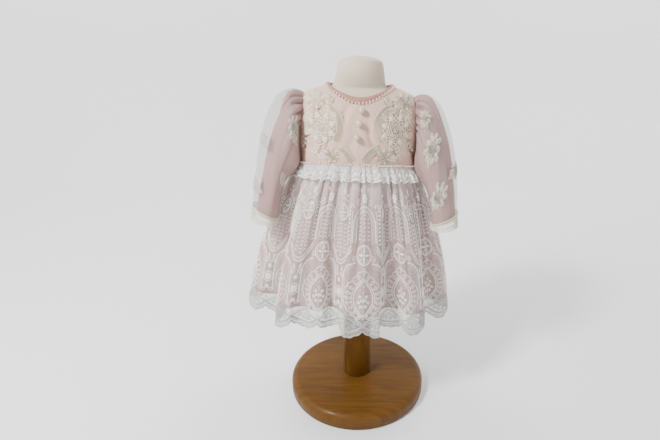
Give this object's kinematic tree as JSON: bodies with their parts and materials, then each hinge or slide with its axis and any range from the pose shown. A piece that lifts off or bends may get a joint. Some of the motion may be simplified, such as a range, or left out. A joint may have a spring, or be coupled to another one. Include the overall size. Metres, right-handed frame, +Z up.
{
  "type": "christening gown on a dress form and stand",
  "caption": "Long-sleeved baby christening gown with a plain bodice, corded lace and a gathered embroidered-tulle skirt, dressed on a limbless form on a round wooden stand.",
  "frame": {"origin": "centre of the wooden base's underside", "axes": "+Z up the post, -Y out of the gown's front, +X towards the wearer's left sleeve"},
  "size_m": [0.3945, 0.28, 0.6619],
  "materials": {
    "pink_crepe": "smooth matt crepe",
    "pink_satin": "soft satin",
    "pink_silk": "silk under fine tulle",
    "lining_satin": "soft satin",
    "embroidered_tulle": "net with raised embroidery",
    "white_lace": "gathered scalloped lace",
    "ivory_lace": "corded lace",
    "pearl": "pearl lustre",
    "form_jersey": "plain knit cover",
    "varnished_wood": "golden satin varnish"
  },
  "bodies": {
    "root": {"bodice_back_left": "pink_crepe", "bodice_back_right": "pink_crepe", "bodice_front": "pink_crepe", "cuff_lace_left": "ivory_lace", "cuff_lace_right": "ivory_lace", "dress_form": "form_jersey", "lace_border_left": "ivory_lace", "lace_border_right": "ivory_lace", "motif_chest_left": "ivory_lace", "motif_chest_right": "ivory_lace", "motif_shoulder_left": "ivory_lace", "motif_shoulder_right": "ivory_lace", "motif_sleeve_left_lower": "ivory_lace", "motif_sleeve_left_outer": "ivory_lace", "motif_sleeve_left_top": "ivory_lace", "motif_sleeve_left_upper": "ivory_lace", "motif_sleeve_right_lower": "ivory_lace", "motif_sleeve_right_outer": "ivory_lace", "motif_sleeve_right_top": "ivory_lace", "motif_sleeve_right_upper": "ivory_lace", "motif_waist_left": "ivory_lace", "motif_waist_right": "ivory_lace", "neck_band": "pink_satin", "pearl_button_1": "pearl", "pearl_button_2": "pearl", "pearl_button_3": "pearl", "skirt_lace_back": "embroidered_tulle", "skirt_lace_front": "embroidered_tulle", "skirt_lining_back": "lining_satin", "skirt_lining_front": "lining_satin", "sleeve_left": "pink_silk", "sleeve_right": "pink_silk", "stand_base": "varnished_wood", "stand_post": "varnished_wood", "waist_lace_trim": "white_lace"}
  },
  "joints": []
}
